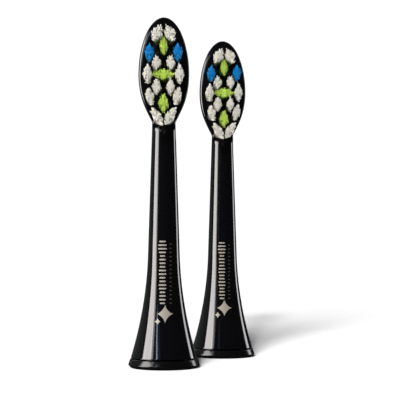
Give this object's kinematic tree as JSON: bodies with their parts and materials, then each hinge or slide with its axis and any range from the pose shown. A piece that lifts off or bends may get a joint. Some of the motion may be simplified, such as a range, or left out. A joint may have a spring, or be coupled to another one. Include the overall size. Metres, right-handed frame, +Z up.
{
  "type": "sonic toothbrush brush heads",
  "caption": "Matching click-on brush heads for a sonic toothbrush, standing on turning foot rings, with hollow feet, D-bored drive sockets, latch springs and tufted oval plates.",
  "frame": {"origin": "on the surface that both heads stand on, at the centre of the pair's bounding box", "axes": "+Z up along both heads, the bristles point along -Y, and +X is to the right when looking at the bristles, where the second head stands, further back"},
  "size_m": [0.0326, 0.051, 0.0839],
  "materials": {
    "black_gloss": "high-gloss black moulded plastic, mirror smooth, with soft parting lines",
    "socket_white": "satin off-white acetal",
    "spring_steel": "rolled spring steel strip, fine grain along its length",
    "bristle_white": "warm white nylon filaments, satin, slightly translucent, rounded ends",
    "bristle_green": "lime green nylon filaments, satin, slightly translucent",
    "bristle_blue": "bright blue nylon filaments, satin, slightly translucent"
  },
  "bodies": {
    "left_head": {"left_brush_body": "black_gloss", "left_drive_socket": "socket_white", "left_tuft_01_white": "bristle_white", "left_tuft_02_white": "bristle_white", "left_tuft_03_green": "bristle_green", "left_tuft_04_blue": "bristle_blue", "left_tuft_05_blue": "bristle_blue", "left_tuft_06_white": "bristle_white", "left_tuft_07_white": "bristle_white", "left_tuft_08_white": "bristle_white", "left_tuft_09_white": "bristle_white", "left_tuft_10_green": "bristle_green", "left_tuft_11_white": "bristle_white", "left_tuft_12_white": "bristle_white", "left_tuft_13_white": "bristle_white", "left_tuft_14_white": "bristle_white", "left_tuft_15_green": "bristle_green", "left_tuft_16_white": "bristle_white", "left_tuft_17_white": "bristle_white"},
    "left_ring": {"left_foot_ring": "black_gloss"},
    "left_latch": {"left_latch_spring": "spring_steel"},
    "right_head": {"right_brush_body": "black_gloss", "right_drive_socket": "socket_white", "right_tuft_01_white": "bristle_white", "right_tuft_02_white": "bristle_white", "right_tuft_03_green": "bristle_green", "right_tuft_04_blue": "bristle_blue", "right_tuft_05_blue": "bristle_blue", "right_tuft_06_white": "bristle_white", "right_tuft_07_white": "bristle_white", "right_tuft_08_white": "bristle_white", "right_tuft_09_white": "bristle_white", "right_tuft_10_green": "bristle_green", "right_tuft_11_white": "bristle_white", "right_tuft_12_white": "bristle_white", "right_tuft_13_white": "bristle_white", "right_tuft_14_white": "bristle_white", "right_tuft_15_green": "bristle_green", "right_tuft_16_white": "bristle_white", "right_tuft_17_white": "bristle_white"},
    "right_ring": {"right_foot_ring": "black_gloss"},
    "right_latch": {"right_latch_spring": "spring_steel"}
  },
  "joints": [
    {"name": "left_ring_turn", "type": "hinge", "parent": "left_head", "child": "left_ring", "pos_m": [-0.0077, -0.0131, 0.001], "axis": [0, 0, 1], "continuous": true},
    {"name": "left_latch_flex", "type": "hinge", "parent": "left_head", "child": "left_latch", "pos_m": [-0.0077, -0.0111, 0.027], "axis": [1, 0, 0], "range_deg": [0, 2.5], "stiffness_Nm_per_rad": 0.13},
    {"name": "right_head_lift", "type": "slide", "parent": "left_head", "child": "right_head", "axis": [0, 0, 1], "range_m": [0, 0.12]},
    {"name": "right_ring_turn", "type": "hinge", "parent": "right_head", "child": "right_ring", "pos_m": [0.0077, 0.0169, 0.001], "axis": [0, 0, 1], "continuous": true},
    {"name": "right_latch_flex", "type": "hinge", "parent": "right_head", "child": "right_latch", "pos_m": [0.0077, 0.0189, 0.027], "axis": [1, 0, 0], "range_deg": [0, 2.5], "stiffness_Nm_per_rad": 0.13}
  ]
}
